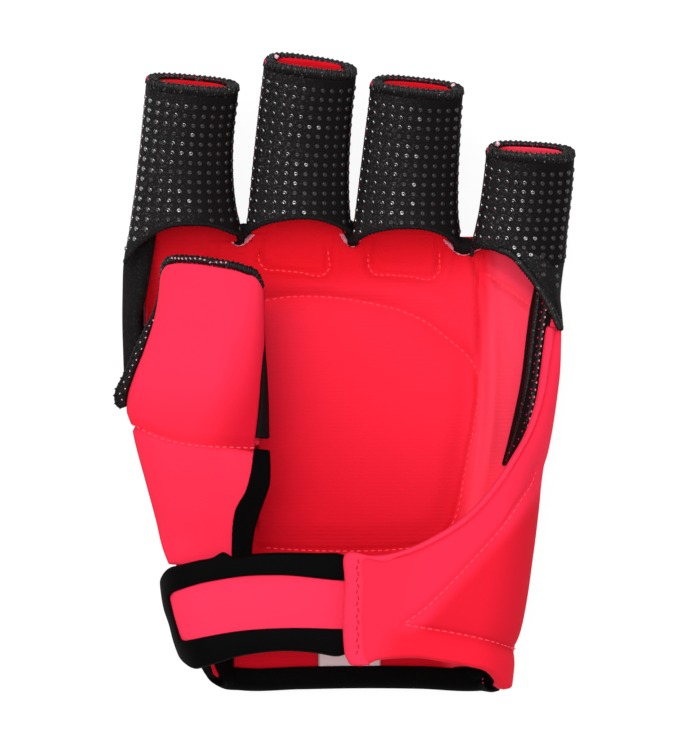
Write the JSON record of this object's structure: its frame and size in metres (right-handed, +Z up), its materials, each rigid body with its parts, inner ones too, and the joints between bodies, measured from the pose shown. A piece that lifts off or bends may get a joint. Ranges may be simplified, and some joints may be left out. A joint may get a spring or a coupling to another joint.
{
  "type": "field hockey glove",
  "caption": "Open-palm half-finger field hockey glove for the left hand, with a padded back, ribbed lining, dotted finger stalls, a thumb stall and a wrap-over wrist flap.",
  "frame": {"origin": "centre of the bounding box in X and Y, at its lowest plane, which is the flat underside of the back pads", "axes": "+Z up from the padded back to the open palm, +Y from the wrist hem to the fingertips, +X from the thumb to the little finger"},
  "size_m": [0.1372, 0.193, 0.043],
  "materials": {
    "coral_neoprene": "soft neoprene faced with matt bright coral knit",
    "coral_spacer": "soft red foam between the cover and the lining",
    "red_lining": "finely ribbed matt red stretch lining",
    "pink_tape": "rolled stretch edge tape, slight sheen",
    "black_stretch": "matt black stretch fabric and overlocked tape",
    "black_dotted": "black stretch fabric printed with small raised rubber grip dots",
    "moulded_foam": "firm black moulded foam pads, satin",
    "pale_label": "blank pale woven label",
    "black_hook": "black hook tape"
  },
  "bodies": {
    "hand_back": {"back_cover": "black_stretch", "back_foam": "coral_spacer", "back_lining": "red_lining", "hem_binding": "black_stretch", "hand_pad": "moulded_foam", "metacarpal_pad": "moulded_foam", "wrist_pad": "moulded_foam", "knuckle_pad_index": "moulded_foam", "knuckle_pad_middle": "moulded_foam", "knuckle_pad_ring": "moulded_foam", "knuckle_pad_little": "moulded_foam", "care_label": "pale_label", "side_wing": "coral_neoprene", "wrist_side_panel": "coral_neoprene", "index_side_gusset": "black_stretch", "little_side_gusset": "black_dotted", "palm_edge_strip": "black_dotted", "finger_web_index_middle": "black_stretch", "finger_web_middle_ring": "black_stretch", "finger_web_ring_little": "black_stretch", "thenar_panel": "coral_neoprene", "thenar_edge_binding": "black_stretch"},
    "index_stall": {"index_grip_panel": "black_dotted", "index_back_panel": "black_stretch", "index_root_pad": "moulded_foam", "index_tip_pad": "moulded_foam", "index_rim_hem": "black_stretch"},
    "middle_stall": {"middle_grip_panel": "black_dotted", "middle_back_panel": "black_stretch", "middle_root_pad": "moulded_foam", "middle_tip_pad": "moulded_foam", "middle_rim_hem": "black_stretch"},
    "ring_stall": {"ring_grip_panel": "black_dotted", "ring_back_panel": "black_stretch", "ring_root_pad": "moulded_foam", "ring_tip_pad": "moulded_foam", "ring_rim_hem": "black_stretch"},
    "little_stall": {"little_grip_panel": "black_dotted", "little_back_panel": "black_stretch", "little_root_pad": "moulded_foam", "little_tip_pad": "moulded_foam", "little_rim_hem": "black_stretch"},
    "thumb_stall": {"thumb_front_panel": "coral_neoprene", "thumb_rear_panel": "black_dotted", "thumb_rim_hem": "black_stretch", "thumb_side_seam": "black_stretch"},
    "strap": {"strap_panel": "coral_neoprene", "strap_binding": "black_stretch"},
    "flap": {"flap_panel": "coral_neoprene", "flap_edge_binding": "pink_tape", "hook_patch": "black_hook"}
  },
  "joints": [
    {"name": "index_bend", "type": "hinge", "parent": "hand_back", "child": "index_stall", "pos_m": [-0.04949, 0.03944, 0.0114], "axis": [1, 0, 0], "range_deg": [0, 60]},
    {"name": "middle_bend", "type": "hinge", "parent": "hand_back", "child": "middle_stall", "pos_m": [-0.01544, 0.04184, 0.0114], "axis": [1, 0, 0], "range_deg": [0, 60]},
    {"name": "ring_bend", "type": "hinge", "parent": "hand_back", "child": "ring_stall", "pos_m": [0.01786, 0.04094, 0.0114], "axis": [1, 0, 0], "range_deg": [0, 60]},
    {"name": "little_bend", "type": "hinge", "parent": "hand_back", "child": "little_stall", "pos_m": [0.05101, 0.03434, 0.0114], "axis": [1, 0, 0], "range_deg": [0, 60]},
    {"name": "thumb_lift", "type": "hinge", "parent": "hand_back", "child": "thumb_stall", "pos_m": [-0.04409, -0.02011, 0.0405], "axis": [0.9824, -0.1868, 0], "range_deg": [0, 40]},
    {"name": "flap_open", "type": "hinge", "parent": "hand_back", "child": "flap", "pos_m": [0.05851, -0.03181, 0.021], "axis": [0.1199, 0.9928, 0], "range_deg": [0, 130]},
    {"name": "strap_open", "type": "hinge", "parent": "hand_back", "child": "strap", "pos_m": [-0.05309, -0.07351, 0.021], "axis": [0.2583, -0.9661, 0], "range_deg": [0, 65]}
  ],
  "couplings": [
    {"joint": "strap_open", "follows": "flap_open", "ratio": 0.5}
  ]
}
